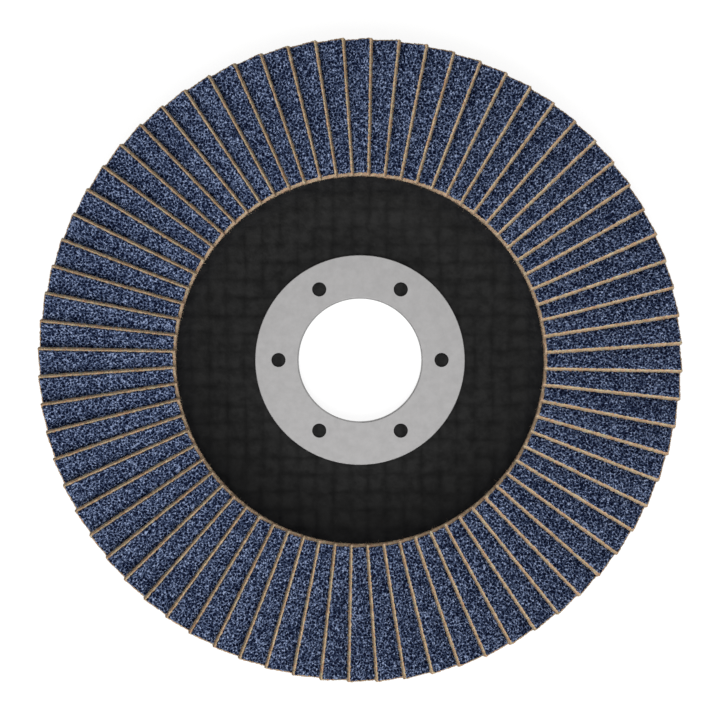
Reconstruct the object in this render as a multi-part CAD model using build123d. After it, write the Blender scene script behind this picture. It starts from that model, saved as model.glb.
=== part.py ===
"""Flap disc for a 115 mm angle grinder.

A pressed glass-fibre plate with a shallow depressed centre carries a steel ring in its bore and,
on an adhesive bed, a pack of overlapping coated-cloth flaps. Each flap leans on the next one: its
raised edge faces clockwise, and its grit slopes down anticlockwise to a heel set in the bed.

Millimetres. +Z points to the working side. The origin is on the disc's axis, in the plane of the
hub's back, which is what the disc rests on.
"""

from build123d import *
import math
import os

# Whole disc
disc_diameter = 115.0  # over the outermost corners of the flaps
flap_count = 72
flaps_per_node = 2

# Backing plate
plate_thickness = 3.0
centre_depression = 1.6  # how far the flange stands forward of the hub
shoulder_angle = 18.0  # degrees, at the steepest point of the shoulder
hub_land = 3.0  # flat left around the ring's flange
plate_edge_round = 0.7
flap_overhang = 5.5  # reach of the flaps past the plate

# Centre ring
bore_diameter = 22.23
ring_thickness = 0.5
ring_flange_diameter = 37.7
ring_mouth_round = 0.2
ring_edge_round = 0.12
crimp_depth = 0.55  # height of the flared lip at the back
crimp_inset = 0.05  # the lip ends this far inside the hub's back face
crimp_angle = 45.0
collar_clearance = 0.035
key_hole_count = 6
key_hole_diameter = 2.55
key_circle_diameter = 29.3
key_clearance = 0.06
key_height = 0.15  # resin pressed up into the ring's holes

# Adhesive bed
bed_thickness = 0.6
bed_heel_cover = 0.75  # reach of the bed inside the flaps' heels
bed_edge_margin = 1.0  # bare plate outside the bed

# Flaps
flap_length = 24.1  # along the radius
flap_width = 14.0  # from raised edge to heel
cloth_thickness = 0.75
grit_thickness = 0.6
flap_tilt = 30.0
flap_edge_offset = 1.2  # raised edge, clockwise of the parallel radius
first_flap_angle = 3.94
grit_setback_edge = 0.27
grit_setback_inner = 0.48
grit_setback_outer = 0.12
heel_trim = 0.5  # height cut off the heel's corner to seat it flat

# Worked-out sizes of the plate
bore_radius = bore_diameter / 2
collar_radius = bore_radius + ring_thickness
plate_bore_radius = collar_radius + collar_clearance
hub_radius = ring_flange_diameter / 2 + hub_land
plate_radius = disc_diameter / 2 - flap_overhang
hub_front = plate_thickness
flange_back = centre_depression
flange_front = plate_thickness + centre_depression

shoulder_turn = math.radians(shoulder_angle)
shoulder_radius = centre_depression / (2 * (1 - math.cos(shoulder_turn)))
shoulder_end = hub_radius + 2 * shoulder_radius * math.sin(shoulder_turn)
tight_radius = shoulder_radius - plate_thickness / 2
wide_radius = shoulder_radius + plate_thickness / 2

# Worked-out sizes of the crimp, a cone of one wall thickness
crimp_slope = math.tan(math.radians(crimp_angle))
crimp_outer_depth = crimp_depth + ring_thickness * math.tan(math.radians(crimp_angle / 2))
crimp_inner_end = bore_radius + (crimp_depth - crimp_inset) * crimp_slope
crimp_outer_end = collar_radius + (crimp_outer_depth - crimp_inset) * crimp_slope
countersink_radius = plate_bore_radius + crimp_outer_depth * crimp_slope

# Worked-out sizes of the flaps, in a section across a flap: y runs anticlockwise, z up
tilt = math.radians(flap_tilt)
bed_front = flange_front + bed_thickness
down_flap = (math.cos(tilt), -math.sin(tilt))
off_flap = (math.sin(tilt), math.cos(tilt))
raised_corner = (-flap_edge_offset, bed_front - heel_trim + flap_width * math.sin(tilt))


def across(along, off):
    """Point of a flap's section: along from the raised edge to the heel, off from the cloth's back."""
    return tuple(
        corner + along * down + off * out
        for corner, down, out in zip(raised_corner, down_flap, off_flap)
    )


flap_far_side = across(flap_width, cloth_thickness)[0]
flap_near_side = across(flap_width, 0)[0] - heel_trim / math.tan(tilt)
flap_outer = math.sqrt((disc_diameter / 2) ** 2 - flap_far_side**2)
flap_inner = flap_outer - flap_length
flap_turn = 360 / flap_count
bed_inner_radius = math.hypot(flap_inner, flap_near_side) - bed_heel_cover
bed_outer_radius = plate_radius - bed_edge_margin


def arc(centre, radius, start_turn, end_turn):
    """Arc in a section, its angles in radians from straight down, positive outwards."""
    points = [
        (centre[0] + radius * math.sin(turn), centre[1] - radius * math.cos(turn))
        for turn in (start_turn, (start_turn + end_turn) / 2, end_turn)
    ]
    return ThreePointArc(*points)


def turned(edges):
    """Solid of revolution about the disc's axis of a closed outline in radius and height."""
    section = make_face(Plane.XZ * edges)
    return revolve(section, Axis.Z)


def key_places():
    """Centres of the ring's holes."""
    return PolarLocations(key_circle_diameter / 2, key_hole_count)


def make_backing_plate():
    """Pressed plate of even thickness, with the resin that fills the ring's holes."""
    low_centre = (hub_radius, hub_front + tight_radius)
    high_centre = (shoulder_end, flange_front - wide_radius)
    front = (
        Line((plate_bore_radius, hub_front), (hub_radius, hub_front))
        + arc(low_centre, tight_radius, 0, shoulder_turn)
        + arc(high_centre, wide_radius, math.pi + shoulder_turn, math.pi)
        + Line((shoulder_end, flange_front), (plate_radius, flange_front))
    )
    back = (
        Line((plate_radius, flange_back), (shoulder_end, flange_back))
        + arc(high_centre, tight_radius, math.pi, math.pi + shoulder_turn)
        + arc(low_centre, wide_radius, shoulder_turn, 0)
        + Line((hub_radius, 0), (countersink_radius, 0))
    )
    bore = Polyline(
        (countersink_radius, 0),
        (plate_bore_radius, crimp_outer_depth),
        (plate_bore_radius, hub_front),
    )
    rim = Line((plate_radius, flange_front), (plate_radius, flange_back))
    plate = turned(front + rim + back + bore)
    rim_edges = plate.edges().filter_by(GeomType.CIRCLE).group_by(SortBy.RADIUS)[-1]
    plate = fillet(rim_edges, plate_edge_round)
    key_radius = key_hole_diameter / 2 - key_clearance
    for place in key_places():
        key = Cylinder(key_radius, hub_front + key_height, align=(Align.CENTER, Align.CENTER, Align.MIN))
        plate += place * key
    return plate


def make_centre_ring():
    """Pressed steel ring: a flange on the hub, a collar down the bore and a lip flared behind it."""
    flange_front_height = hub_front + ring_thickness
    flange_radius = ring_flange_diameter / 2
    outline = Polyline(
        (bore_radius, flange_front_height),
        (flange_radius, flange_front_height),
        (flange_radius, hub_front),
        (collar_radius, hub_front),
        (collar_radius, crimp_outer_depth),
        (crimp_outer_end, crimp_inset),
        (crimp_inner_end, crimp_inset),
        (bore_radius, crimp_depth),
        close=True,
    )
    ring = turned(outline)
    front_rims = ring.edges().filter_by(GeomType.CIRCLE).group_by(Axis.Z)[-1].sort_by(SortBy.RADIUS)
    ring = fillet(front_rims[-1], ring_edge_round)
    front_rims = ring.edges().filter_by(GeomType.CIRCLE).group_by(Axis.Z)[-1].sort_by(SortBy.RADIUS)
    ring = fillet(front_rims[0], ring_mouth_round)
    for place in key_places():
        ring -= place * Cylinder(key_hole_diameter / 2, 4 * flange_front_height)
    return ring


def make_adhesive_bed():
    """Cured adhesive between the plate and the heels of the flaps."""
    outline = Polyline(
        (bed_inner_radius, flange_front),
        (bed_outer_radius, flange_front),
        (bed_outer_radius, bed_front),
        (bed_inner_radius, bed_front),
        close=True,
    )
    return turned(outline)


def flap_layer(start, length, section):
    """Slab with the given section across the flap, start to start + length along its radius."""
    return Pos(start, 0, 0) * extrude(make_face(Plane.YZ * Polyline(*section, close=True)), length)


def make_flap():
    """One flap on the radius along X: cloth, with the grit coat stopping short of its cut edges."""
    whole = cloth_thickness + grit_thickness
    cloth = flap_layer(
        flap_inner,
        flap_length,
        [across(0, 0), across(flap_width, 0), across(flap_width, cloth_thickness), across(0, cloth_thickness)],
    )
    grit = flap_layer(
        flap_inner + grit_setback_inner,
        flap_length - grit_setback_inner - grit_setback_outer,
        [
            across(grit_setback_edge, cloth_thickness),
            across(flap_width, cloth_thickness),
            across(flap_width, whole),
            across(grit_setback_edge, whole),
        ],
    )
    below = Box(
        4 * disc_diameter,
        4 * disc_diameter,
        bed_front,
        align=(Align.CENTER, Align.CENTER, Align.MIN),
    )
    return (cloth + grit) - below


def make_flap_groups():
    """Neighbouring flaps, a few to a node, anticlockwise from the first."""
    flap = make_flap()
    groups = {}
    for first in range(0, flap_count, flaps_per_node):
        members = range(first, min(first + flaps_per_node, flap_count))
        copies = [Rot(0, 0, first_flap_angle + flap_turn * member) * flap for member in members]
        groups[f"flap_pair_{first // flaps_per_node + 1:02d}"] = Compound(children=copies)
    return groups


def main():
    """Build every piece and write one STEP file for each node."""
    os.makedirs("parts", exist_ok=True)
    nodes = {
        "backing_plate": make_backing_plate(),
        "centre_ring": make_centre_ring(),
        "adhesive_bed": make_adhesive_bed(),
        **make_flap_groups(),
    }
    for name, shape in nodes.items():
        export_step(shape, f"parts/{name}.step")


main()
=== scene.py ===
"""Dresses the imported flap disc: coated cloth flaps, adhesive, glass-fibre plate and steel ring.

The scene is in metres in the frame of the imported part: the disc lies on z = 0, its axis is Z, and
its working side faces up. Sizes in the classes are in millimetres and degrees, unless their class
says otherwise.
"""

import logging
import math
from dataclasses import dataclass
from enum import Enum, IntEnum

import bmesh
import bpy
import numpy as np
from mathutils import Matrix, Vector


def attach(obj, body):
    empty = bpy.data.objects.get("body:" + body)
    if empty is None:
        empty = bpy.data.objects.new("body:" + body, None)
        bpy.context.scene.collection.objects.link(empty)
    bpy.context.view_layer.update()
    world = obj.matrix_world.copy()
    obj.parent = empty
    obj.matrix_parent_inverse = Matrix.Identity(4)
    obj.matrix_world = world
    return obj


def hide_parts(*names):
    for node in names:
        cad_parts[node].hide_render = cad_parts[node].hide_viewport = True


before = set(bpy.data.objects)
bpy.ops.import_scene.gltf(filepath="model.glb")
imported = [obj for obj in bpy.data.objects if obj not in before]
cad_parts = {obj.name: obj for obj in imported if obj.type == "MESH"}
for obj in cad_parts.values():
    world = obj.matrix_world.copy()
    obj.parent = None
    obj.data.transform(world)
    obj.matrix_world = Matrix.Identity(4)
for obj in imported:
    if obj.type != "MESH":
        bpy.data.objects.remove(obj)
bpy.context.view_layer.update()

MM = 0.001
CLOSE = 0.001  # millimetres within which a point of the flat pattern counts as on an edge
FULL_TURN = 2 * math.pi
TABLE_SIZE = 4096  # random numbers drawn at once, to be looked up by place
BODY = "root"
LOG = logging.getLogger("flap_disc")

Colour = tuple[float, float, float, float]
Stops = tuple[tuple[float, Colour], ...]
Span = tuple[float, float]
Socket = bpy.types.NodeSocket


# ---------------------------------------------------------------- shared helpers


def screen_colour(red: float, green: float, blue: float) -> Colour:
    """Turn a colour as a screen shows it into the linear one that a shader takes.

    Args:
        red: red, 0 to 255.
        green: green, 0 to 255.
        blue: blue, 0 to 255.

    Returns:
        Linear red, green, blue and an alpha of 1.
    """
    # A screen's standard curve is straight near black and a power above it.
    shares = [value / 255 for value in (red, green, blue)]
    linear = [share / 12.92 if share <= 0.04045 else ((share + 0.055) / 1.055) ** 2.4 for share in shares]
    return (*linear, 1.0)


def smooth_step(value: np.ndarray, low: float, high: float) -> np.ndarray:
    """Ease from 0 at low to 1 at high."""
    share = np.clip((value - low) / (high - low), 0, 1)
    return share * share * (3 - 2 * share)


@dataclass(frozen=True)
class Noise:
    """Settings of a noise pattern; the scale is per unit of the place that the pattern follows."""

    scale: float
    detail: float
    roughness: float = 0.5


@dataclass(frozen=True)
class Bump:
    """How much of a bump shows, and how many millimetres a height of one stands for."""

    strength: float
    depth_mm: float


class NodeBench:
    """Adds and joins the nodes of one material or world."""

    def __init__(self, tree: bpy.types.NodeTree) -> None:
        """Start on an emptied node tree."""
        self.tree = tree
        tree.nodes.clear()

    def add(self, kind: str, inputs: dict | None = None, **settings: object) -> bpy.types.Node:
        """Add a node.

        Args:
            kind: the node's Blender type.
            inputs: socket name or index to a value, or to the output socket that feeds it.
            settings: the node's own properties.

        Returns:
            The new node.
        """
        node = self.tree.nodes.new(kind)
        for name, value in settings.items():
            setattr(node, name, value)
        for name, value in (inputs or {}).items():
            if isinstance(value, Socket):
                self.tree.links.new(value, node.inputs[name])
            else:
                node.inputs[name].default_value = value
        return node

    def maths(self, operation: str, *values: object, clamp: bool = False) -> Socket:
        """Add a Math node and give its result."""
        node = self.add("ShaderNodeMath", dict(enumerate(values)), operation=operation, use_clamp=clamp)
        return node.outputs[0]

    def vector_maths(self, operation: str, *values: object) -> bpy.types.Node:
        """Add a Vector Math node."""
        return self.add("ShaderNodeVectorMath", dict(enumerate(values)), operation=operation)

    def place(self) -> Socket:
        """Give the object coordinates."""
        return self.add("ShaderNodeTexCoord").outputs["Object"]

    def radius(self, place: Socket) -> Socket:
        """Give a place's distance from the disc's axis."""
        flat = self.vector_maths("MULTIPLY", place, (1.0, 1.0, 0.0)).outputs[0]
        return self.vector_maths("LENGTH", flat).outputs["Value"]

    def attribute(self, name: str, output: str = "Fac") -> Socket:
        """Give one of the mesh's own attributes."""
        return self.add("ShaderNodeAttribute", attribute_name=name).outputs[output]

    def spread(self, value: Socket, low: float, high: float, to_low: float, to_high: float) -> Socket:
        """Map a range of values to another, held at its ends."""
        inputs = {"Value": value, "From Min": low, "From Max": high, "To Min": to_low, "To Max": to_high}
        return self.add("ShaderNodeMapRange", inputs).outputs["Result"]

    def noise(self, place: Socket, noise: Noise, output: str = "Fac") -> Socket:
        """Give one output of a noise texture."""
        inputs = {"Vector": place, "Scale": noise.scale, "Detail": noise.detail, "Roughness": noise.roughness}
        return self.add("ShaderNodeTexNoise", inputs).outputs[output]

    def cells(self, place: Socket, scale: float, feature: str = "F1") -> bpy.types.Node:
        """Add a Voronoi texture; its scale is per unit of the place."""
        return self.add("ShaderNodeTexVoronoi", {"Vector": place, "Scale": scale}, feature=feature)

    def own_tone(self, cells: bpy.types.Node, channel: int = 0) -> Socket:
        """Give each cell's own random tone, one channel of its random colour."""
        return self.add("ShaderNodeSeparateColor", {0: cells.outputs["Color"]}).outputs[channel]

    def ramp(self, value: Socket, stops: Stops) -> Socket:
        """Colour a value.

        Args:
            value: what to colour, 0 to 1.
            stops: place and colour of each stop, in order.

        Returns:
            The colour.
        """
        node = self.add("ShaderNodeValToRGB", {0: value})
        elements = node.color_ramp.elements
        while len(elements) < len(stops):
            elements.new(0.5)
        for element, (place, tint) in zip(elements, stops):
            element.position = place
            element.color = tint
        return node.outputs["Color"]

    def blend(self, share: object, first: object, second: object, mode: str = "MIX") -> Socket:
        """Mix two colours; the Mix node has its own sockets for colours, beside those for numbers."""
        inputs = {0: share, 6: first, 7: second}
        return self.add("ShaderNodeMix", inputs, data_type="RGBA", blend_type=mode).outputs[2]

    def bump(self, height: Socket, bump: Bump, under: Socket | None = None) -> Socket:
        """Turn a height into a normal.

        Args:
            height: the height, about 0 to 1.
            bump: how strong and deep the bump is.
            under: the normal of the coarser bump that this one lies on, if there is one.

        Returns:
            The normal.
        """
        inputs = {"Height": height, "Strength": bump.strength, "Distance": bump.depth_mm * MM}
        if under is not None:
            inputs["Normal"] = under
        return self.add("ShaderNodeBump", inputs).outputs["Normal"]

    def surface(self, **inputs: object) -> None:
        """Finish the material with a Principled shader.

        Args:
            inputs: the shader's inputs; underscores in their names stand for spaces.
        """
        named = {name.replace("_", " "): value for name, value in inputs.items()}
        shader = self.add("ShaderNodeBsdfPrincipled", named)
        self.add("ShaderNodeOutputMaterial", {"Surface": shader.outputs[0]})

    def looked_at(self) -> Socket:
        """Tell the rays that show a thing from those that only carry its light.

        Returns:
            1 for camera rays and for rays that a gloss or a clear thing sends on, 0 for the rest.
        """
        rays = self.add("ShaderNodeLightPath").outputs
        seen = self.maths("MAXIMUM", rays["Is Camera Ray"], rays["Is Glossy Ray"])
        return self.maths("MAXIMUM", seen, rays["Is Transmission Ray"])


def new_material(name: str) -> tuple[bpy.types.Material, NodeBench]:
    """Make an empty node material.

    Args:
        name: the material's name.

    Returns:
        The material and the bench that its nodes are added on.
    """
    material = bpy.data.materials.new(name)
    material.use_nodes = True
    return material, NodeBench(material.node_tree)


def new_mesh(name: str, bm: bmesh.types.BMesh) -> bpy.types.Mesh:
    """Turn a finished bmesh into a mesh and let go of it.

    Args:
        name: the mesh's name.
        bm: the finished bmesh.

    Returns:
        The mesh.
    """
    mesh = bpy.data.meshes.new(name)
    bm.to_mesh(mesh)
    bm.free()
    return mesh


def show_piece(name: str, mesh: bpy.types.Mesh, slot: str, *nodes: str) -> bpy.types.Object:
    """Put a finished mesh in the scene in place of CAD nodes.

    Args:
        name: the piece's name.
        mesh: its mesh, already where it belongs.
        slot: the record's material slot for the piece; not used.
        nodes: the CAD nodes that it stands for.

    Returns:
        The piece.
    """
    piece = bpy.data.objects.new(name, mesh)
    bpy.context.scene.collection.objects.link(piece)
    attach(piece, BODY)
    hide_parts(*nodes)
    return piece


def read_points(mesh: bpy.types.Mesh) -> np.ndarray:
    """Read where a mesh's vertices are.

    Args:
        mesh: the mesh.

    Returns:
        A row of x, y and z for each vertex.
    """
    flat = np.empty(len(mesh.vertices) * 3, np.float32)
    mesh.vertices.foreach_get("co", flat)
    return flat.reshape(-1, 3).astype(float)


# ---------------------------------------------------------------- finishes


@dataclass(frozen=True)
class GritFinish:
    """Blue binder over crushed grit: each grain has its own tone, with pale ridges between hollows.

    Each share says how much one pattern adds to the tone, which runs from 0 to 1 over the shades.
    """

    grain_mm: float = 0.41
    facet_mm: float = 0.14
    cluster_mm: float = 0.6
    ridge_slope: float = 4.8
    level: float = 0.345
    grain_share: float = 0.31
    facet_share: float = 0.1
    dome_share: float = 0.87
    ridge_share: float = 0.62
    relief_share: float = 0.12
    chips: Bump = Bump(0.3, 0.05)
    roughness: float = 0.7
    shine: float = 0.08
    shades: Stops = (
        (0.0, screen_colour(0, 5, 30)),
        (0.25, screen_colour(13, 25, 54)),
        (0.5, screen_colour(57, 70, 98)),
        (0.76, screen_colour(112, 127, 160)),
        (1.0, screen_colour(170, 186, 218)),
    )

    def make(self) -> bpy.types.Material:
        """Build the grit's material.

        Returns:
            The material.
        """
        material, bench = new_material("blue_grit")
        place = bench.place()
        grains = bench.cells(place, 1 / (self.grain_mm * MM))
        facets = bench.cells(place, 1 / (self.facet_mm * MM))
        gaps = bench.cells(place, 1 / (self.cluster_mm * MM), "DISTANCE_TO_EDGE")
        ridges = bench.maths("MULTIPLY_ADD", gaps.outputs["Distance"], -self.ridge_slope, 1.0, clamp=True)
        tone = bench.maths("MULTIPLY", bench.own_tone(facets, 1), self.facet_share)
        tone = bench.maths("MULTIPLY_ADD", bench.own_tone(grains), self.grain_share, tone)
        tone = bench.maths("ADD", tone, self.level)
        tone = bench.maths("MULTIPLY_ADD", grains.outputs["Distance"], -self.dome_share, tone)
        tone = bench.maths("MULTIPLY_ADD", ridges, self.ridge_share, tone)
        # Higher points lighter: grain tops stand out of the dark binder, and painted shade darkens the
        # hollows.
        tone = bench.maths("MULTIPLY_ADD", bench.attribute("relief"), self.relief_share, tone)
        # flap_tone adds painted shade towards the next flap and a random tone for each flap.
        tone = bench.maths("ADD", tone, bench.attribute("flap_tone"), clamp=True)
        bench.surface(
            Base_Color=bench.ramp(tone, self.shades),
            Roughness=self.roughness,
            Specular_IOR_Level=self.shine,
            Normal=bench.bump(facets.outputs["Distance"], self.chips),
        )
        return material


@dataclass(frozen=True)
class ClothFinish:
    """Tan woven cloth with a stiff size coat; its cut edges show yarn ends and stray fibres.

    Its patterns follow the flap laid out flat, in millimetres. Each share says how much one of them
    adds to the tone, which runs from 0 to 1 over the shades, or how far a tint takes over.
    """

    yarn_mm: float = 0.42
    crossing: float = 0.25
    speckle: Noise = Noise(3.4, 3.0, 0.65)
    patches: Noise = Noise(0.9, 2.0)
    dye: Noise = Noise(2.6, 1.0)
    level: float = -0.14
    speckle_share: float = 0.8
    tuft_share: float = 0.3
    weave_share: float = 0.17
    stain_share: float = 0.5
    stain_span: Span = (0.45, 0.75)
    dye_share: float = 0.45
    dye_span: Span = (0.35, 0.65)
    dust_share: float = 0.14
    dust_and_painted_light_radii_mm: Span = (32.5, 32.9)
    threads: Bump = Bump(0.45, 0.09)
    fuzz: Bump = Bump(0.35, 0.08)
    roughness: float = 0.85
    shine: float = 0.05
    shades: Stops = (
        (0.12, screen_colour(152, 131, 107)),
        (0.5, screen_colour(212, 183, 152)),
        (0.9, screen_colour(238, 219, 190)),
    )
    stain: Colour = screen_colour(184, 137, 102)
    warm: Colour = screen_colour(255, 208, 184)
    cool: Colour = screen_colour(212, 246, 224)
    dust_and_painted_light: Colour = screen_colour(176, 172, 176)

    def make(self) -> bpy.types.Material:
        """Build the cloth's material.

        Returns:
            The material.
        """
        material, bench = new_material("tan_cloth")
        flat = bench.attribute("flat_place", "Vector")
        weave = self._weave(bench, flat)
        speckle = bench.noise(flat, self.speckle)
        tufts = bench.own_tone(bench.cells(flat, 1 / self.yarn_mm))
        tone = bench.maths("MULTIPLY", tufts, self.tuft_share)
        tone = bench.maths("MULTIPLY_ADD", speckle, self.speckle_share, tone)
        tone = bench.maths("ADD", tone, self.level)
        tone = bench.maths("MULTIPLY_ADD", weave, self.weave_share, tone)
        # flap_tone adds painted light on the raised edge, painted shade on the inner end and paler stray
        # fibres.
        tone = bench.maths("ADD", tone, bench.attribute("flap_tone"), clamp=True)
        threads = bench.bump(weave, self.threads)
        bench.surface(
            Base_Color=self._tinge(bench, flat, bench.ramp(tone, self.shades)),
            Roughness=self.roughness,
            Specular_IOR_Level=self.shine,
            Normal=bench.bump(speckle, self.fuzz, threads),
        )
        return material

    def _weave(self, bench: NodeBench, flat: Socket) -> Socket:
        """Give the height of a plain weave, warp and weft taking turns on top.

        Args:
            bench: the bench that the nodes are added on.
            flat: the place on the flap laid out flat.

        Returns:
            The height, 0 to 1.
        """
        axes = bench.add("ShaderNodeSeparateXYZ", {0: flat})
        turn = math.pi / self.yarn_mm
        along = bench.maths("SINE", bench.maths("MULTIPLY", axes.outputs[0], turn))
        across = bench.maths("SINE", bench.maths("MULTIPLY", axes.outputs[1], turn))
        warp = bench.maths("ABSOLUTE", along)
        weft = bench.maths("ABSOLUTE", across)
        over = bench.spread(bench.maths("MULTIPLY", along, across), -self.crossing, self.crossing, 0, 1)
        return bench.maths("MULTIPLY_ADD", over, bench.maths("SUBTRACT", warp, weft), weft)

    def _tinge(self, bench: NodeBench, flat: Socket, tint: Socket) -> Socket:
        """Stain the cloth, vary its dye and dust its inner end.

        Args:
            bench: the bench that the nodes are added on.
            flat: the place on the flap laid out flat.
            tint: the clean cloth's colour.

        Returns:
            The colour.
        """
        patches = bench.spread(bench.noise(flat, self.patches), *self.stain_span, 0, self.stain_share)
        stained = bench.blend(patches, tint, self.stain)
        dye = bench.spread(bench.noise(flat, self.dye), *self.dye_span, 0, 1)
        tinge = bench.blend(dye, self.warm, self.cool)
        dyed = bench.blend(self.dye_share, stained, bench.blend(1.0, stained, tinge, "MULTIPLY"))
        # Grey dust on the inner end.
        start, end = self.dust_and_painted_light_radii_mm
        dust_and_painted_light_share = bench.spread(bench.radius(bench.place()), start * MM, end * MM, self.dust_share, 0)
        return bench.blend(dust_and_painted_light_share, dyed, self.dust_and_painted_light)


@dataclass(frozen=True)
class PlateFinish:
    """Near-black pressed laminate in which the square mesh of glass strands just shows.

    Each span is a range of values, of a pattern or of what it is turned into.
    """

    strand_mm: float = 3.18
    strand_fullness: float = 1.15
    wander: Noise = Noise(130.0, 2.0)
    wander_mm: float = 1.3
    filaments: Noise = Noise(700.0, 2.0, 0.55)
    filament_stretch: float = 0.35
    filament_span: Span = (0.35, 0.62)
    gap_span: Span = (0.15, 0.7)
    mottle: Noise = Noise(620.0, 2.0, 0.6)
    mottle_span: Span = (0.45, 1.25)
    sheen: Noise = Noise(330.0, 3.0, 0.6)
    roughness_span: Span = (0.42, 0.52)
    noise_span: Span = (0.3, 0.7)
    pits: Noise = Noise(2600.0, 2.0, 0.6)
    pit_bump: Bump = Bump(0.35, 0.03)
    dent_bump: Bump = Bump(0.5, 0.35)
    shine: float = 0.06
    # Painted light: from these radii outwards the plate is lightened beside the flaps, where their wall
    # shades it.
    dust_and_painted_light_radii_mm: Span = (29.5, 32.4)
    base: Colour = screen_colour(7, 7, 7)
    raised: Colour = screen_colour(37, 37, 37)
    # colour added as painted light beside the flaps
    dust_and_painted_light: Colour = screen_colour(17, 18, 21)

    def make(self) -> bpy.types.Material:
        """Build the laminate's material.

        Returns:
            The material.
        """
        material, bench = new_material("black_laminate")
        place = bench.place()
        axes = bench.add("ShaderNodeSeparateXYZ", {0: self._wander(bench, place)})
        stretch = self.filament_stretch
        warp = self._strands(bench, axes.outputs[0], self._gap_depth(bench, place, (1.0, stretch, 1.0)))
        weft = self._strands(bench, axes.outputs[1], self._gap_depth(bench, place, (stretch, 1.0, 1.0)))
        sheen = bench.noise(place, self.sheen)
        mottle = bench.noise(place, self.mottle)
        pits = bench.noise(place, self.pits)
        woven = bench.maths("MULTIPLY", warp, weft)
        shown = bench.maths("MULTIPLY", woven, bench.spread(mottle, *self.noise_span, *self.mottle_span))
        tint = bench.blend(shown, self.base, self.raised)
        # Painted light: lighten the plate beside the flaps, where their wall shades it.
        start, end = self.dust_and_painted_light_radii_mm
        dust_and_painted_light_share = bench.spread(bench.radius(place), start * MM, end * MM, 0, 1)
        dents = bench.bump(bench.maths("SUBTRACT", 1.0, mottle), self.dent_bump)
        bench.surface(
            Base_Color=bench.blend(dust_and_painted_light_share, tint, self.dust_and_painted_light, "ADD"),
            Roughness=bench.spread(sheen, *self.noise_span, *self.roughness_span),
            Specular_IOR_Level=self.shine,
            Normal=bench.bump(pits, self.pit_bump, dents),
        )
        return material

    def _strands(self, bench: NodeBench, across: Socket, gap_depth: Socket) -> Socket:
        """Give one set of broad strands with narrow gaps between them.

        Args:
            bench: the bench that the nodes are added on.
            across: distance across the strands, in metres.
            gap_depth: how dark the gaps are, 0 to 1.

        Returns:
            The strands' tone: 1 on them, less in the gaps.
        """
        wave = bench.maths("COSINE", bench.maths("MULTIPLY", across, math.pi / (self.strand_mm * MM)))
        body = bench.maths("MULTIPLY", bench.maths("ABSOLUTE", wave), self.strand_fullness, clamp=True)
        gap = bench.maths("SUBTRACT", 1.0, body)
        return bench.maths("SUBTRACT", 1.0, bench.maths("MULTIPLY", gap, gap_depth))

    def _wander(self, bench: NodeBench, place: Socket) -> Socket:
        """Bend the place a little so that the strands aren't ruled lines.

        Args:
            bench: the bench that the nodes are added on.
            place: the place to bend.

        Returns:
            The bent place.
        """
        wander = bench.noise(place, self.wander, "Color")
        offset = bench.vector_maths("SUBTRACT", wander, (0.5, 0.5, 0.5)).outputs[0]
        reach = self.wander_mm * MM
        return bench.vector_maths("MULTIPLY_ADD", offset, (reach, reach, 0.0), place).outputs[0]

    def _gap_depth(self, bench: NodeBench, place: Socket, stretch: tuple[float, float, float]) -> Socket:
        """Vary the gaps' darkness by filaments drawn out along one set of strands.

        Args:
            bench: the bench that the nodes are added on.
            place: the place on the plate.
            stretch: how much the pattern is kept to on each axis; less draws it out.

        Returns:
            How dark the gaps are, 0 to 1.
        """
        drawn = bench.vector_maths("MULTIPLY", place, stretch).outputs[0]
        return bench.spread(bench.noise(drawn, self.filaments), *self.filament_span, *self.gap_span)


@dataclass(frozen=True)
class SteelFinish:
    """Satin zinc-plated sheet: even grey with faint blotches and a fine pressed grain."""

    cloud: Noise = Noise(700.0, 4.0, 0.65)
    cloud_span: Span = (0.35, 0.65)
    gloss_span: Span = (0.3, 0.7)
    roughness_span: Span = (0.58, 0.62)
    grain: Noise = Noise(5200.0, 2.0, 0.6)
    grain_bump: Bump = Bump(0.25, 0.012)
    base: Colour = screen_colour(150.5, 149.5, 149.5)
    blotch: Colour = screen_colour(147, 146, 146)

    def make(self) -> bpy.types.Material:
        """Build the ring's material.

        Returns:
            The material.
        """
        material, bench = new_material("satin_steel")
        place = bench.place()
        cloud = bench.noise(place, self.cloud)
        grain = bench.noise(place, self.grain)
        bench.surface(
            Base_Color=bench.blend(bench.spread(cloud, *self.cloud_span, 0, 1), self.base, self.blotch),
            Metallic=1.0,
            Roughness=bench.spread(cloud, *self.gloss_span, *self.roughness_span),
            Normal=bench.bump(grain, self.grain_bump),
        )
        return material


@dataclass(frozen=True)
class AdhesiveFinish:
    """Cured dark adhesive with a soft gloss."""

    cloud: Noise = Noise(700.0, 3.0, 0.55)
    cloud_span: Span = (0.4, 0.7)
    gloss_span: Span = (0.3, 0.7)
    roughness_span: Span = (0.25, 0.5)
    skin: Bump = Bump(0.4, 0.12)
    shine: float = 0.4
    base: Colour = screen_colour(60, 56, 51)
    thin: Colour = screen_colour(84, 75, 62)

    def make(self) -> bpy.types.Material:
        """Build the adhesive's material.

        Returns:
            The material.
        """
        material, bench = new_material("cured_adhesive")
        cloud = bench.noise(bench.place(), self.cloud)
        bench.surface(
            Base_Color=bench.blend(bench.spread(cloud, *self.cloud_span, 0, 1), self.base, self.thin),
            Roughness=bench.spread(cloud, *self.gloss_span, *self.roughness_span),
            Specular_IOR_Level=self.shine,
            Normal=bench.bump(cloud, self.skin),
        )
        return material


# ---------------------------------------------------------------- flaps


class Region(IntEnum):
    """Which part of a flap a vertex belongs to."""

    CLOTH = 0
    COAT_TOP = 1
    COAT_SKIRT = 2
    STRAY = 3


class CutEdge(IntEnum):
    """The cut edges of the cloth that fibres stand out of."""

    RAISED = 0
    INNER = 1
    OUTER = 2


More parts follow.
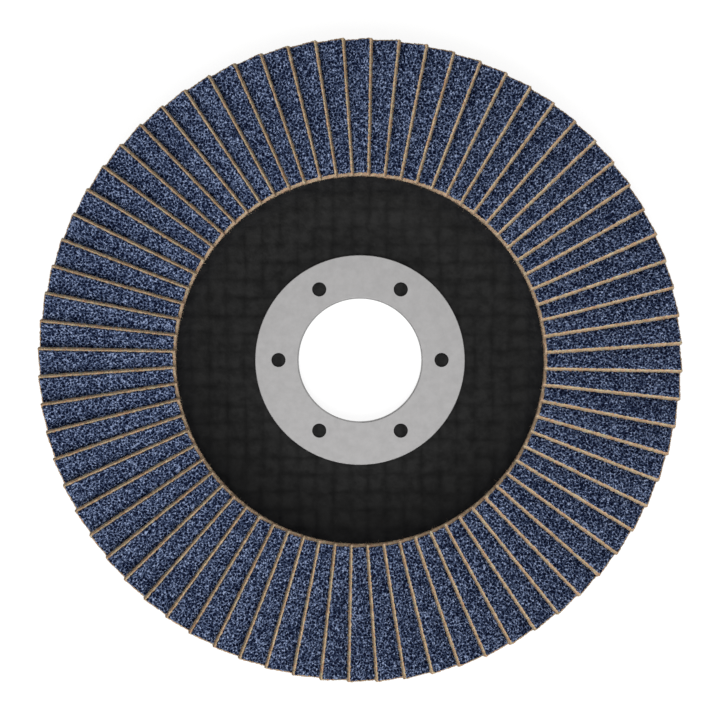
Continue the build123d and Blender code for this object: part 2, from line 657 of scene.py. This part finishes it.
@dataclass(frozen=True)
class FlapSizes:
    """Sizes of one coated flap and of the pack, in millimetres and degrees.

    A flap is laid out flat: u runs out along the disc's radius, v from the raised edge down to the
    heel, and w off the back of the cloth.
    """

    disc_diameter: float = 115.0
    count: int = 72
    per_node: int = 2
    length: float = 24.1
    width: float = 14.0
    cloth: float = 0.75
    grit: float = 0.6
    tilt: float = 30.0
    edge_offset: float = 1.2
    first_angle: float = 3.94
    bed_front: float = 5.2
    heel_trim: float = 0.5
    heel_sink: float = 0.05  # into the bed
    setback_edge: float = 0.163
    setback_inner: float = 0.48
    setback_outer: float = 0.36
    lap: float = 4.5  # from the raised edge to the next flap

    @property
    def outer(self) -> float:
        """Work out how far the flap's outer end is from the axis.

        Returns:
            The distance.
        """
        tilt = math.radians(self.tilt)
        far_side = self.width * math.cos(tilt) + self.cloth * math.sin(tilt) - self.edge_offset
        return math.sqrt((self.disc_diameter / 2) ** 2 - far_side**2)

    @property
    def inner(self) -> float:
        """Distance from the axis to the flap's inner end."""
        return self.outer - self.length

    @property
    def whole(self) -> float:
        """Thickness of cloth and grit together."""
        return self.cloth + self.grit

    def placing(self, index: int) -> np.ndarray:
        """Give the move from a flat flap in millimetres to its place on the disc.

        Args:
            index: the flap's number, from 0, anticlockwise.

        Returns:
            A 4 x 4 matrix that also turns millimetres into metres.
        """
        tilt = math.radians(self.tilt)
        raised = self.bed_front - self.heel_trim + self.width * math.sin(tilt)
        lean = Matrix.Rotation(-tilt, 4, "X")
        lift = Matrix.Translation((0, -self.edge_offset, raised))
        turn = Matrix.Rotation(math.radians(self.first_angle + index * 360 / self.count), 4, "Z")
        return np.array(Matrix.Scale(MM, 4) @ turn @ lift @ lean)


@dataclass(frozen=True)
class Yarns:
    """How the cloth's cut edges fray, in millimetres; their tones are in part painted light and shade."""

    pitch: float = 0.42
    bulge: float = 0.07
    ragged: float = 0.058
    fuzz: float = 0.03
    wave: float = 0.03
    wave_shift: float = 6.0  # radians
    edge_stand: float = 0.08
    outer_stand: float = -0.07
    inner_stand: float = 0.04
    # paler cut fibres, and painted light on the raised edge
    edge_fibre_and_painted_light: float = 0.14
    # painted light that lifts the raised edge's lower rows and darkens its upper ones
    painted_edge_lift: float = 0.12
    # painted shade on the inner end
    painted_inner_shade: float = -0.02

    def reach(
        self, along: np.ndarray, height: np.ndarray, rng: np.random.Generator, stand: float
    ) -> np.ndarray:
        """Work out how far the cut edge stands out at points along it.

        Args:
            along: place along the edge.
            height: place through the cloth's thickness, 0 to 1.
            rng: the flap's own random numbers.
            stand: how far the tips of the yarns stand beyond the straight edge.

        Returns:
            Reach beyond the straight edge.
        """
        first_yarn = 1000
        yarn = np.floor(along / self.pitch + first_yarn).astype(int)
        layer = (height > 0.5).astype(int)
        own = rng.uniform(-1, 1, (TABLE_SIZE, 2))
        per_yarn = own[yarn % TABLE_SIZE, layer] * self.ragged
        phase = np.where(layer == 1, 0.0, math.pi)
        rounded = np.cos(FULL_TURN * along / self.pitch + phase) * 0.5 - 0.5
        return rounded * self.bulge + per_yarn + rng.uniform(-1, 1, along.shape) * self.fuzz + stand


@dataclass(frozen=True)
class Strays:
    """Loose fibres that stand out of the cloth's cut edges.

    Lengths are in millimetres, curl and sway are shares of a fibre's length, light is a tone, and
    the reach and the roots' span are shares of the flap's width and of the cloth's thickness.
    """

    edge_count: int = 18
    inner_count: int = 16
    outer_count: int = 6
    radius: float = 0.016
    bend_taper: float = 0.8
    tip_taper: float = 0.4
    shortest: float = 0.1
    longest: float = 0.42
    outer_trim: float = 0.6
    end_reach: float = 0.75
    root_span: Span = (0.05, 0.95)
    curl: float = 0.45
    sway: float = 0.6
    light: float = 0.22
    rings: int = 3
    sides: int = 3

    @property
    def count(self) -> int:
        """How many fibres one flap has."""
        return self.edge_count + self.inner_count + self.outer_count

    def add(self, bm: bmesh.types.BMesh, region: bmesh.types.BMLayerItem) -> None:
        """Add the fibres as upright tapered threads of unit length, to be laid out by lay().

        Args:
            bm: the pattern that they are added to.
            region: the layer that holds each vertex's region.
        """
        half = 0.5
        for _ in range(self.count):
            known = set(bm.verts)
            bmesh.ops.create_cone(
                bm,
                cap_ends=True,
                segments=self.sides,
                radius1=self.radius,
                radius2=self.radius * self.bend_taper,
                depth=half,
                matrix=Matrix.Translation((0, 0, half / 2)),
            )
            made = [vertex for vertex in bm.verts if vertex not in known]
            caps = {face for vertex in made for face in vertex.link_faces}
            tip = [face for face in caps if all(vertex.co.z > half / 2 for vertex in face.verts)]
            grown = bmesh.ops.extrude_face_region(bm, geom=tip)["geom"]
            bmesh.ops.delete(bm, geom=tip, context="FACES_ONLY")
            end = [item for item in grown if isinstance(item, bmesh.types.BMVert)]
            bmesh.ops.translate(bm, verts=end, vec=(0, 0, half))
            bmesh.ops.scale(bm, verts=end, vec=(self.tip_taper, self.tip_taper, 1.0))
            for vertex in made + end:
                vertex[region] = Region.STRAY
                for face in vertex.link_faces:
                    face.smooth = True

    def lay(
        self, upright: np.ndarray, sizes: FlapSizes, yarns: Yarns, rng: np.random.Generator
    ) -> np.ndarray:
        """Lay one flap's fibres out along its cut edges.

        Args:
            upright: points of the upright fibres, one fibre after the other.
            sizes: the flap's sizes.
            yarns: how far the cut edges stand out.
            rng: the flap's own random numbers.

        Returns:
            The points in the flat flap.
        """
        total = self.count
        share = rng.uniform(0, 1, total)
        counts = (self.edge_count, self.inner_count, self.outer_count)
        edge = np.repeat([int(each) for each in CutEdge], counts)
        along_u = sizes.inner + share * sizes.length
        along_v = share * sizes.width * self.end_reach
        inner_u = sizes.inner - yarns.inner_stand * 0.5
        root_u = np.choose(edge, (along_u, inner_u, sizes.outer + yarns.outer_stand))
        root_v = np.choose(edge, (-yarns.edge_stand * 0.5, along_v, along_v))
        root = np.column_stack((root_u, root_v, rng.uniform(*self.root_span, total) * sizes.cloth))
        way = rng.normal(0, self.sway, (total, 3))
        way += np.array(((0, -1, 0), (-1, 0, 0), (1, 0, 0)), float)[edge]
        way /= np.linalg.norm(way, axis=1)[:, None]
        length = self.shortest + (self.longest - self.shortest) * rng.uniform(0, 1, total) ** 2
        length = np.where(edge == CutEdge.OUTER, length * self.outer_trim, length)
        bend = rng.normal(0, self.curl, (total, 3))
        skew = (0.13, 0.21, 0.97)  # along no fibre
        side = np.cross(way, skew)
        side /= np.linalg.norm(side, axis=1)[:, None]
        other = np.cross(way, side)
        local = upright.reshape(total, self.rings * self.sides, 3)
        reach = local[:, :, 2:3] * length[:, None, None]
        laid = root[:, None, :] + reach * way[:, None, :] + reach * local[:, :, 2:3] * bend[:, None, :]
        laid += local[:, :, 0:1] * side[:, None, :] + local[:, :, 1:2] * other[:, None, :]
        return laid.reshape(-1, 3)


@dataclass(frozen=True)
class Grains:
    """Relief of the crushed grit and of its rims, in millimetres.

    The relief works on a grid of the grains' pitch: scatter and block are shares of it, and peaks
    stand 0 to 1 high. Lap shade is a tone of painted shade, darkening the grit under the next flap.
    """

    pitch: float = 0.36
    depth: float = 0.24
    scatter: float = 0.38
    lean: float = 0.55
    lowest_peak: float = 0.5
    block: float = 0.22
    steepness: float = 2.5
    grid_shake: float = 0.055
    chip_pitch: float = 0.2
    chip_edge: float = 0.06
    chip_inner: float = 0.07
    chip_outer: float = 0.05
    # painted shade towards the next flap, as a tone
    lap_shade: float = 0.03

    def relief(self, u: np.ndarray, v: np.ndarray, rng: np.random.Generator) -> np.ndarray:
        """Work out the height of the grit over its hollows.

        Args:
            u: place along the flap.
            v: place across the flap.
            rng: the flap's own random numbers.

        Returns:
            0 in the hollows to 1 on the highest grains.
        """
        spare = 3
        columns = (u - u.min()) / self.pitch + spare / 2
        rows = (v - v.min()) / self.pitch + spare / 2
        shape = (int(columns.max()) + spare, int(rows.max()) + spare)
        seeds = rng.uniform(-self.scatter, self.scatter, (*shape, 2)) + 0.5
        peaks = rng.uniform(self.lowest_peak, 1.0, shape)
        leans = rng.normal(0, self.lean, (*shape, 2))
        turns = rng.uniform(0, math.pi, shape)
        column = columns.astype(int)
        row = rows.astype(int)
        best = np.full(u.shape, -np.inf)
        for step_u in (-1, 0, 1):
            for step_v in (-1, 0, 1):
                near = (np.clip(column + step_u, 0, shape[0] - 1), np.clip(row + step_v, 0, shape[1] - 1))
                away_u = columns - near[0] - seeds[near][:, 0]
                away_v = rows - near[1] - seeds[near][:, 1]
                cosine = np.cos(turns[near])
                sine = np.sin(turns[near])
                side_u = np.abs(away_u * cosine + away_v * sine)
                side_v = np.abs(away_v * cosine - away_u * sine)
                slope = leans[near][:, 0] * away_u + leans[near][:, 1] * away_v
                past_block = np.maximum(np.maximum(side_u, side_v) - self.block, 0)
                best = np.maximum(best, peaks[near] + slope - self.steepness * past_block)
        return np.clip(best, 0, 1)


@dataclass(frozen=True)
class Division:
    """How finely a flap is divided: step of the cut edges in millimetres, rows of the coat's face."""

    edge_step: float
    coat_columns: int
    coat_rows: int


class Fineness(Enum):
    """The two ways a flap can be divided."""

    FINE = Division(0.145, 118, 30)
    COARSE = Division(0.3, 60, 15)


@dataclass(frozen=True)
class FlapPattern:
    """Mesh of one node's flaps lying flat, in millimetres, which every piece starts from.

    The coat is finely divided down to fine_inner and fine_outer, at its inner and its outer end, and
    plain from there to the heel.
    """

    sizes: FlapSizes
    strays: Strays
    fineness: Fineness
    heel_steps: int = 12
    cloth_rows: int = 3
    plain_rows: int = 2
    fine_inner: float = 4.2
    fine_outer: float = 6.6
    skirt_break: float = 0.3
    skirt_sink: float = 0.02

    def build(self) -> bpy.types.Mesh:
        """Build the pattern.

        Returns:
            A mesh with the flaps of one node one after the other, all in the same place, cloth in
            material slot 0 and grit in slot 1, and with each vertex's region as an attribute.
        """
        bm = bmesh.new()
        region = bm.verts.layers.int.new("region")
        self._add_cloth(bm, region)
        self._add_coat(bm, region)
        self.strays.add(bm, region)
        bmesh.ops.recalc_face_normals(bm, faces=bm.faces[:])
        single = bm.verts[:] + bm.edges[:] + bm.faces[:]
        for _ in range(self.sizes.per_node - 1):
            bmesh.ops.duplicate(bm, geom=single)
        return new_mesh("flap_pattern", bm)

    def _outline(self) -> np.ndarray:
        """Walk round the cloth: raised edge outwards, outer end, heel, inner end.

        Returns:
            A row of u and v for each point.
        """
        sizes = self.sizes
        steps_u = round(sizes.length / self.fineness.value.edge_step)
        steps_v = round(sizes.width / self.fineness.value.edge_step)
        near = np.linspace(sizes.inner, sizes.outer, steps_u, endpoint=False)
        out = np.linspace(0, sizes.width, steps_v, endpoint=False)
        far = np.linspace(sizes.outer, sizes.inner, self.heel_steps, endpoint=False)
        back = np.linspace(sizes.width, 0, steps_v, endpoint=False)
        sides = (
            np.column_stack((near, np.zeros_like(near))),
            np.column_stack((np.full_like(out, sizes.outer), out)),
            np.column_stack((far, np.full_like(far, sizes.width))),
            np.column_stack((np.full_like(back, sizes.inner), back)),
        )
        return np.vstack(sides)

    def _add_cloth(self, bm: bmesh.types.BMesh, region: bmesh.types.BMLayerItem) -> None:
        """Add the cloth: its back, a few rows of cut edge and its front.

        Args:
            bm: the pattern, still empty.
            region: the layer that holds each vertex's region.
        """
        outline = self._outline()
        bmesh.ops.create_circle(bm, cap_ends=True, segments=len(outline), radius=1)
        for vertex, (u, v) in zip(bm.verts, outline):
            vertex.co = (u, v, 0)
        sheet = bm.faces[:]
        for _ in range(self.cloth_rows):
            raised = bmesh.ops.extrude_face_region(bm, geom=sheet)["geom"]
            sheet = [item for item in raised if isinstance(item, bmesh.types.BMFace)]
            moved = [item for item in raised if isinstance(item, bmesh.types.BMVert)]
            bmesh.ops.translate(bm, verts=moved, vec=(0, 0, self.sizes.cloth / self.cloth_rows))
        for face in bm.faces:
            face.smooth = True
            face.material_index = 0
        for vertex in bm.verts:
            vertex[region] = Region.CLOTH

    def _add_coat(self, bm: bmesh.types.BMesh, region: bmesh.types.BMLayerItem) -> None:
        """Add the grit: a fine exposed strip, a plain rest and a skirt down to the cloth.

        Args:
            bm: the pattern, which has the cloth alone.
            region: the layer that holds each vertex's region.
        """
        sizes = self.sizes
        low = sizes.inner + sizes.setback_inner
        high = sizes.outer - sizes.setback_outer
        fine_rows = self.fineness.value.coat_rows
        rows = fine_rows + self.plain_rows
        columns = self.fineness.value.coat_columns
        made = bmesh.ops.create_grid(bm, x_segments=columns, y_segments=rows, size=0.5)["verts"]
        for vertex in made:
            share = vertex.co.x + 0.5
            row = (vertex.co.y + 0.5) * rows
            fine_end = self.fine_inner + (self.fine_outer - self.fine_inner) * share
            fine = sizes.setback_edge + (fine_end - sizes.setback_edge) * row / fine_rows
            plain = fine_end + (sizes.width - fine_end) * (row - fine_rows) / self.plain_rows
            across = fine if row <= fine_rows else plain
            vertex.co = (low + (high - low) * share, across, sizes.whole)
            vertex[region] = Region.COAT_TOP
        top = {face for vertex in made for face in vertex.link_faces}
        rim = [edge for face in top for edge in face.edges if edge.is_boundary]
        for drop in (self.skirt_break, sizes.grit + self.skirt_sink - self.skirt_break):
            skirt = bmesh.ops.extrude_edge_only(bm, edges=list(set(rim)))["geom"]
            below = [item for item in skirt if isinstance(item, bmesh.types.BMVert)]
            rim = [item for item in skirt if isinstance(item, bmesh.types.BMEdge)]
            bmesh.ops.translate(bm, verts=below, vec=(0, 0, -drop))
            for vertex in below:
                vertex[region] = Region.COAT_SKIRT
        rim = [edge for edge in rim if edge.is_boundary]
        floor = bmesh.ops.holes_fill(bm, edges=rim, sides=0)["faces"]
        coat = {face for vertex in bm.verts if vertex[region] != Region.CLOTH for face in vertex.link_faces}
        for face in coat | set(floor):
            face.smooth = False
            face.material_index = 1


@dataclass(frozen=True)
class FlapPack:
    """All the flaps, in one piece for each CAD node."""

    sizes: FlapSizes = FlapSizes()
    yarns: Yarns = Yarns()
    strays: Strays = Strays()
    grains: Grains = Grains()
    seed: int = 7200
    tone_scatter: float = 0.012
    pattern_shift: tuple[float, float, float] = (37.0, 53.0, 0.0)  # so that no two flaps look alike

    def build(self, cloth: bpy.types.Material, grit: bpy.types.Material) -> list[bpy.types.Object]:
        """Build every flap piece.

        Args:
            cloth: material of the cloth.
            grit: material of the coat.

        Returns:
            The pieces, in the order of their nodes.
        """
        fineness = Fineness.FINE
        pattern = FlapPattern(self.sizes, self.strays, fineness).build()
        flat = read_points(pattern)
        region = np.empty(len(flat), np.int32)
        pattern.attributes["region"].data.foreach_get("value", region)
        pattern.attributes.remove(pattern.attributes["region"])
        pieces = []
        for node_index in range(self.sizes.count // self.sizes.per_node):
            mesh = pattern.copy()
            mesh.name = f"coated_flaps_{node_index + 1:02d}"
            self._lay(mesh, flat, region, node_index)
            mesh.materials.append(cloth)
            mesh.materials.append(grit)
            mesh.update()
            node = f"flap_pair_{node_index + 1:02d}"
            pieces.append(show_piece(mesh.name, mesh, "coated_cloth", node))
        bpy.data.meshes.remove(pattern)
        return pieces

    def _lay(self, mesh: bpy.types.Mesh, flat: np.ndarray, region: np.ndarray, node_index: int) -> None:
        """Shape one node's flaps and lay them on the disc.

        Args:
            mesh: the node's copy of the pattern.
            flat: the pattern's points.
            region: the region of each point.
            node_index: the node's number, from 0, anticlockwise.
        """
        places = np.empty_like(flat)
        laid = np.empty_like(flat)
        relief = np.zeros(len(flat))
        tone = np.zeros(len(flat))
        share = len(flat) // self.sizes.per_node
        for member in range(self.sizes.per_node):
            index = node_index * self.sizes.per_node + member
            part = slice(member * share, (member + 1) * share)
            rng = np.random.default_rng(self.seed + index)
            shaped, relief[part] = self._shape(flat[part], region[part], rng)
            places[part] = self._put(shaped, index)
            laid[part] = shaped + np.array(self.pattern_shift) * index
            tone[part] = self._tone(flat[part], region[part], rng)
        mesh.vertices.foreach_set("co", places.astype(np.float32).ravel())
        self._note(mesh, "flat_place", "FLOAT_VECTOR", "vector", laid)
        self._note(mesh, "relief", "FLOAT", "value", relief)
        self._note(mesh, "flap_tone", "FLOAT", "value", tone)

    def _tone(self, flat: np.ndarray, region: np.ndarray, rng: np.random.Generator) -> np.ndarray:
        """Work out how much lighter or darker than its finish each point of a flap is, painted shade and
        light included.

        Args:
            flat: the flap's points as the pattern has them.
            region: the region of each point.
            rng: the flap's own random numbers.

        Returns:
            A small number for each point, to add to the finish's own tone.
        """
        sizes = self.sizes
        down = np.clip((flat[:, 1] - sizes.setback_edge) / sizes.lap, 0, 1)
        # Painted shade: the grit darkens towards the next flap, which lies over it.
        tone = rng.uniform(-self.tone_scatter, self.tone_scatter) - self.grains.lap_shade * down
        cloth = region == Region.CLOTH
        tone[cloth] = 0
        edge = cloth & (flat[:, 1] < CLOSE)
        # The raised edge: paler cut fibres and painted light, the light shifted towards its lower rows.
        tone[edge] = self.yarns.edge_fibre_and_painted_light + self.yarns.painted_edge_lift * (0.5 - flat[edge, 2] / sizes.cloth)
        # Painted shade on the inner end.
        tone[cloth & (flat[:, 0] < sizes.inner + CLOSE)] = self.yarns.painted_inner_shade
        tone[region == Region.STRAY] = self.strays.light
        return tone

    @staticmethod
    def _note(mesh: bpy.types.Mesh, name: str, kind: str, field: str, values: np.ndarray) -> None:
        """Store values for each vertex as one of the mesh's attributes."""
        attribute = mesh.attributes.new(name, kind, "POINT")
        attribute.data.foreach_set(field, values.astype(np.float32).ravel())

    def _put(self, shaped: np.ndarray, index: int) -> np.ndarray:
        """Lay a shaped flap in its place on the disc, its heel flattened where it meets the bed.

        Args:
            shaped: the flap's points, in millimetres.
            index: the flap's number, from 0, anticlockwise.

        Returns:
            The points on the disc, in metres.
        """
        placing = self.sizes.placing(index)
        places = shaped @ placing[:3, :3].T + placing[:3, 3]
        lowest = (self.sizes.bed_front - self.sizes.heel_sink) * MM
        places[:, 2] = np.maximum(places[:, 2], lowest)
        return places

    def _shape(
        self, flat: np.ndarray, region: np.ndarray, rng: np.random.Generator
    ) -> tuple[np.ndarray, np.ndarray]:
        """Fray the cloth's edges and raise the grit of one flap.

        Args:
            flat: the flap's points as the pattern has them.
            region: the region of each point.
            rng: the flap's own random numbers.

        Returns:
            The shaped points, and how high each stands over the hollows of the grit.
        """
        sizes = self.sizes
        yarns = self.yarns
        shaped = flat.copy()
        relief = np.zeros(len(flat))
        cloth = region == Region.CLOTH
        height = flat[:, 2] / sizes.cloth
        raised = cloth & (flat[:, 1] < CLOSE)
        inner = cloth & (flat[:, 0] < sizes.inner + CLOSE)
        outer = cloth & (flat[:, 0] > sizes.outer - CLOSE)
        shaped[raised, 1] -= yarns.reach(flat[raised, 0], height[raised], rng, yarns.edge_stand)
        shaped[inner, 0] -= yarns.reach(flat[inner, 1], height[inner], rng, yarns.inner_stand)
        shaped[outer, 0] += yarns.reach(flat[outer, 1], height[outer], rng, yarns.outer_stand)
        diagonal = flat[:, 0] + flat[:, 1]
        wave = np.sin(FULL_TURN * diagonal / (2 * yarns.pitch) + rng.uniform(0, yarns.wave_shift))
        shaped[cloth, 2] += yarns.wave * wave[cloth]
        coat = (region == Region.COAT_TOP) | (region == Region.COAT_SKIRT)
        shaped[coat] = self._shape_coat(flat[coat], rng)
        relief[coat] = self.grains.relief(flat[coat, 0], flat[coat, 1], rng)
        top = region == Region.COAT_TOP
        shaped[top, 2] -= self.grains.depth * (1 - relief[top])
        stray = region == Region.STRAY
        shaped[stray] = self.strays.lay(flat[stray], sizes, yarns, rng)
        return shaped, relief

    def _shape_coat(self, flat: np.ndarray, rng: np.random.Generator) -> np.ndarray:
        """Shake the coat's grid and give it a ragged rim.

        Args:
            flat: the coat's points as the pattern has them.
            rng: the flap's own random numbers.

        Returns:
            The shaken points.
        """
        sizes = self.sizes
        grains = self.grains
        shaped = flat.copy()
        shaped[:, :2] += rng.uniform(-grains.grid_shake, grains.grid_shake, (len(flat), 2))
        inner_rim = flat[:, 0] < sizes.inner + sizes.setback_inner + CLOSE
        outer_rim = flat[:, 0] > sizes.outer - sizes.setback_outer - CLOSE
        near_rim = flat[:, 1] < sizes.setback_edge + CLOSE
        chip_seed = int(rng.integers(1 << 30))
        chips = np.random.default_rng(chip_seed).uniform(-1, 1, TABLE_SIZE)
        for rim, moved, along, depth in (
            (near_rim, 1, 0, grains.chip_edge),
            (inner_rim, 0, 1, grains.chip_inner),
            (outer_rim, 0, 1, grains.chip_outer),
        ):
            chip = (flat[rim, along] / grains.chip_pitch).astype(int) % TABLE_SIZE
            shaped[rim, moved] += depth * chips[chip]
        return shaped


# ---------------------------------------------------------------- adhesive


@dataclass(frozen=True)
class AdhesiveBed:
    """Bed of adhesive with an uneven bead squeezed out along its two rims, in millimetres.

    The beads swell and shrink round the disc in several waves at once, counted for a full turn.
    Corner round, bottom grip and climb level are shares.
    """

    inner: float = 33.06
    outer: float = 51.0
    back: float = 4.6
    front: float = 5.2
    bead: float = 0.35
    corner_round: float = 0.35
    wander: float = 0.22
    spill: float = 0.1
    foot: float = 0.1
    bottom_grip: float = 0.4
    bead_reach: float = 1.5
    climb: float = 0.5
    climb_level: float = 0.3
    section_points: int = 16
    steps: int = 432
    swell_waves: tuple[int, ...] = (36, 72, 101, 144, 211)
    drift_waves: int = 5
    seed: int = 51

    def build(self, finish: bpy.types.Material) -> bpy.types.Object:
        """Build the bed.

        Args:
            finish: material of the adhesive.

        Returns:
            The piece.
        """
        bm = bmesh.new()
        bmesh.ops.create_circle(bm, segments=self.section_points, radius=1)
        self._square_off(bm)
        bmesh.ops.spin(
            bm,
            geom=bm.verts[:] + bm.edges[:],
            cent=(0, 0, 0),
            axis=(0, 0, 1),
            angle=FULL_TURN,
            steps=self.steps,
            use_merge=True,
        )
        bmesh.ops.recalc_face_normals(bm, faces=bm.faces[:])
        for face in bm.faces:
            face.smooth = True
        mesh = new_mesh("adhesive_beads", bm)
        self._squeeze(mesh)
        mesh.materials.append(finish)
        return show_piece("adhesive_beads", mesh, "adhesive", "adhesive_bed")

    def _square_off(self, bm: bmesh.types.BMesh) -> None:
        """Stretch a unit circle into the bed's section, a flat box with its ends rounded out.

        Args:
            bm: the circle alone, in the plane of X and Y.
        """
        middle = (self.inner + self.outer) / 2
        reach = (self.outer - self.inner) / 2
        height = (self.front - self.back) / 2
        for vertex in bm.verts:
            across = vertex.co.x
            up = vertex.co.y
            square = 1 / max(abs(across), abs(up))
            rounded = self.corner_round + (1 - self.corner_round) * square
            vertex.co = (
                (middle + across * square * reach + across * (rounded - square) * self.bead) * MM,
                0,
                (self.back + height + up * square * height) * MM,
            )

    def _squeeze(self, mesh: bpy.types.Mesh) -> None:
        """Push the bed's rims in and out and let beads climb the heels.

        Args:
            mesh: the even bed.
        """
        points = read_points(mesh) / MM
        radius = np.hypot(points[:, 0], points[:, 1])
        angle = np.arctan2(points[:, 1], points[:, 0])
        rng = np.random.default_rng(self.seed)
        swell = np.zeros(len(points))
        for wave_count in self.swell_waves:
            phases = rng.uniform(0, FULL_TURN, 2)
            swell += np.sin(wave_count * angle + phases[0] + np.sin(self.drift_waves * angle + phases[1]))
        swell /= len(self.swell_waves)
        upper = smooth_step(points[:, 2], self.back + self.foot, self.front)
        inside = smooth_step(-radius, -self.inner - self.bead_reach, -self.inner)
        outside = smooth_step(radius, self.outer - self.bead_reach, self.outer)
        held = (1 - self.bottom_grip) + self.bottom_grip * (1 - upper)
        moved = radius + (outside - inside) * (self.wander * swell + self.spill) * held
        points[:, 0] *= moved / radius
        points[:, 1] *= moved / radius
        points[:, 2] += upper * (inside + outside) * self.climb * np.clip(self.climb_level + swell, 0, 1)
        mesh.vertices.foreach_set("co", (points * MM).astype(np.float32).ravel())
        mesh.update()


# ---------------------------------------------------------------- rigid parts


@dataclass(frozen=True)
class HubParts:
    """The backing plate and the centre ring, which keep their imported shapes."""

    plate_node: str = "backing_plate"
    ring_node: str = "centre_ring"

    def dress(self, laminate: bpy.types.Material, steel: bpy.types.Material) -> list[bpy.types.Object]:
        """Give both parts their finishes.

        Args:
            laminate: material of the plate.
            steel: material of the ring.

        Returns:
            The two nodes.
        """
        dressed = []
        for name, finish in ((self.plate_node, laminate), (self.ring_node, steel)):
            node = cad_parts[name]
            node.data.materials.clear()
            node.data.materials.append(finish)
            dressed.append(node)
        return dressed


# ---------------------------------------------------------------- studio


class Backdrop(Enum):
    """How bright the studio's pale surfaces are."""

    WALL = 0.34
    FLOOR = 0.36
    FLOOR_GLOW = 0.82


@dataclass(frozen=True)
class SoftBox:
    """One large square lamp, aimed at the disc; distances in metres and angles in degrees."""

    name: str
    azimuth: float
    elevation: float
    distance: float
    side: float
    watts: float

    def hang(self) -> bpy.types.Object:
        """Put the lamp in the scene.

        Returns:
            The lamp.
        """
        data = bpy.data.lights.new(self.name, "AREA")
        data.shape = "SQUARE"
        data.size = self.side
        data.energy = self.watts
        lamp = bpy.data.objects.new(self.name, data)
        around = math.radians(self.azimuth)
        up = math.radians(self.elevation)
        flat = math.cos(up) * self.distance
        place = Vector((flat * math.cos(around), flat * math.sin(around), math.sin(up) * self.distance))
        lamp.location = place
        lamp.visible_camera = False
        lamp.rotation_euler = place.to_track_quat("Z", "Y").to_euler()
        bpy.context.scene.collection.objects.link(lamp)
        return lamp


@dataclass(frozen=True)
class Studio:
    """Pale floor, soft light and the camera that looks straight down on the working side.

    Distances are in metres; the lens and the sensor are in millimetres.
    """

    floor_side: float = 8.0
    floor_drop: float = 0.00002
    camera_height: float = 0.3
    disc_top: float = 0.012734
    lens: float = 86.07
    sensor: float = 36.0
    nearest: float = 0.01
    farthest: float = 20.0
    lamps: tuple[SoftBox, ...] = (
        SoftBox("key_softbox", -96.0, 56.0, 1.3, 1.0, 10.8),
        SoftBox("top_softbox", 100.0, 76.0, 1.6, 1.2, 3.0),
    )

    def build(self) -> None:
        """Set up the floor, the world, the lamps, the camera and the view transform."""
        self._lay_floor()
        self._paint_world()
        for lamp in self.lamps:
            lamp.hang()
        self._set_camera()
        bpy.context.scene.view_settings.view_transform = "Standard"

    def _lay_floor(self) -> None:
        """Lay the pale floor, which glows a little for the camera and keeps its shadows."""
        bm = bmesh.new()
        bmesh.ops.create_grid(bm, x_segments=1, y_segments=1, size=self.floor_side / 2)
        bmesh.ops.translate(bm, verts=bm.verts[:], vec=(0, 0, -self.floor_drop))
        mesh = new_mesh("pale_floor", bm)
        material, bench = new_material("pale_floor")
        level = Backdrop.FLOOR.value
        matt = bench.add("ShaderNodeBsdfDiffuse", {"Color": (level, level, level, 1)})
        strength = bench.maths("MULTIPLY", bench.looked_at(), Backdrop.FLOOR_GLOW.value)
        glow = bench.add("ShaderNodeEmission", {"Color": (1, 1, 1, 1), "Strength": strength})
        both = bench.add("ShaderNodeAddShader", {0: matt.outputs[0], 1: glow.outputs[0]})
        bench.add("ShaderNodeOutputMaterial", {"Surface": both.outputs[0]})
        mesh.materials.append(material)
        floor = bpy.data.objects.new("pale_floor", mesh)
        bpy.context.scene.collection.objects.link(floor)

    def _paint_world(self) -> None:
        """Make the surroundings white to look at and a soft light on the disc."""
        world = bpy.data.worlds.new("pale_room")
        world.use_nodes = True
        bench = NodeBench(world.node_tree)
        strength = bench.spread(bench.looked_at(), 0, 1, Backdrop.WALL.value, 1.0)
        sky = bench.add("ShaderNodeBackground", {"Color": (1, 1, 1, 1), "Strength": strength})
        bench.add("ShaderNodeOutputWorld", {"Surface": sky.outputs[0]})
        bpy.context.scene.world = world

    def _set_camera(self) -> None:
        """Hang the camera over the disc's axis."""
        data = bpy.data.cameras.new("overhead_camera")
        data.lens = self.lens
        data.sensor_width = self.sensor
        data.clip_start = self.nearest
        data.clip_end = self.farthest
        camera = bpy.data.objects.new("overhead_camera", data)
        camera.location = (0, 0, self.disc_top + self.camera_height)
        bpy.context.scene.collection.objects.link(camera)
        bpy.context.scene.camera = camera


# ---------------------------------------------------------------- build


def main() -> None:
    """Build and dress the disc, then the studio around it."""
    logging.basicConfig(level=logging.INFO, format="%(name)s: %(message)s")
    flaps = FlapPack().build(ClothFinish().make(), GritFinish().make())
    LOG.info("flaps: %d pieces, %d faces each", len(flaps), len(flaps[0].data.polygons))
    bed = AdhesiveBed().build(AdhesiveFinish().make())
    LOG.info("adhesive: %s", bed.name)
    for node in HubParts().dress(PlateFinish().make(), SteelFinish().make()):
        LOG.info("dressed: %s", node.name)
    Studio().build()


if __name__ == "__main__":
    main()
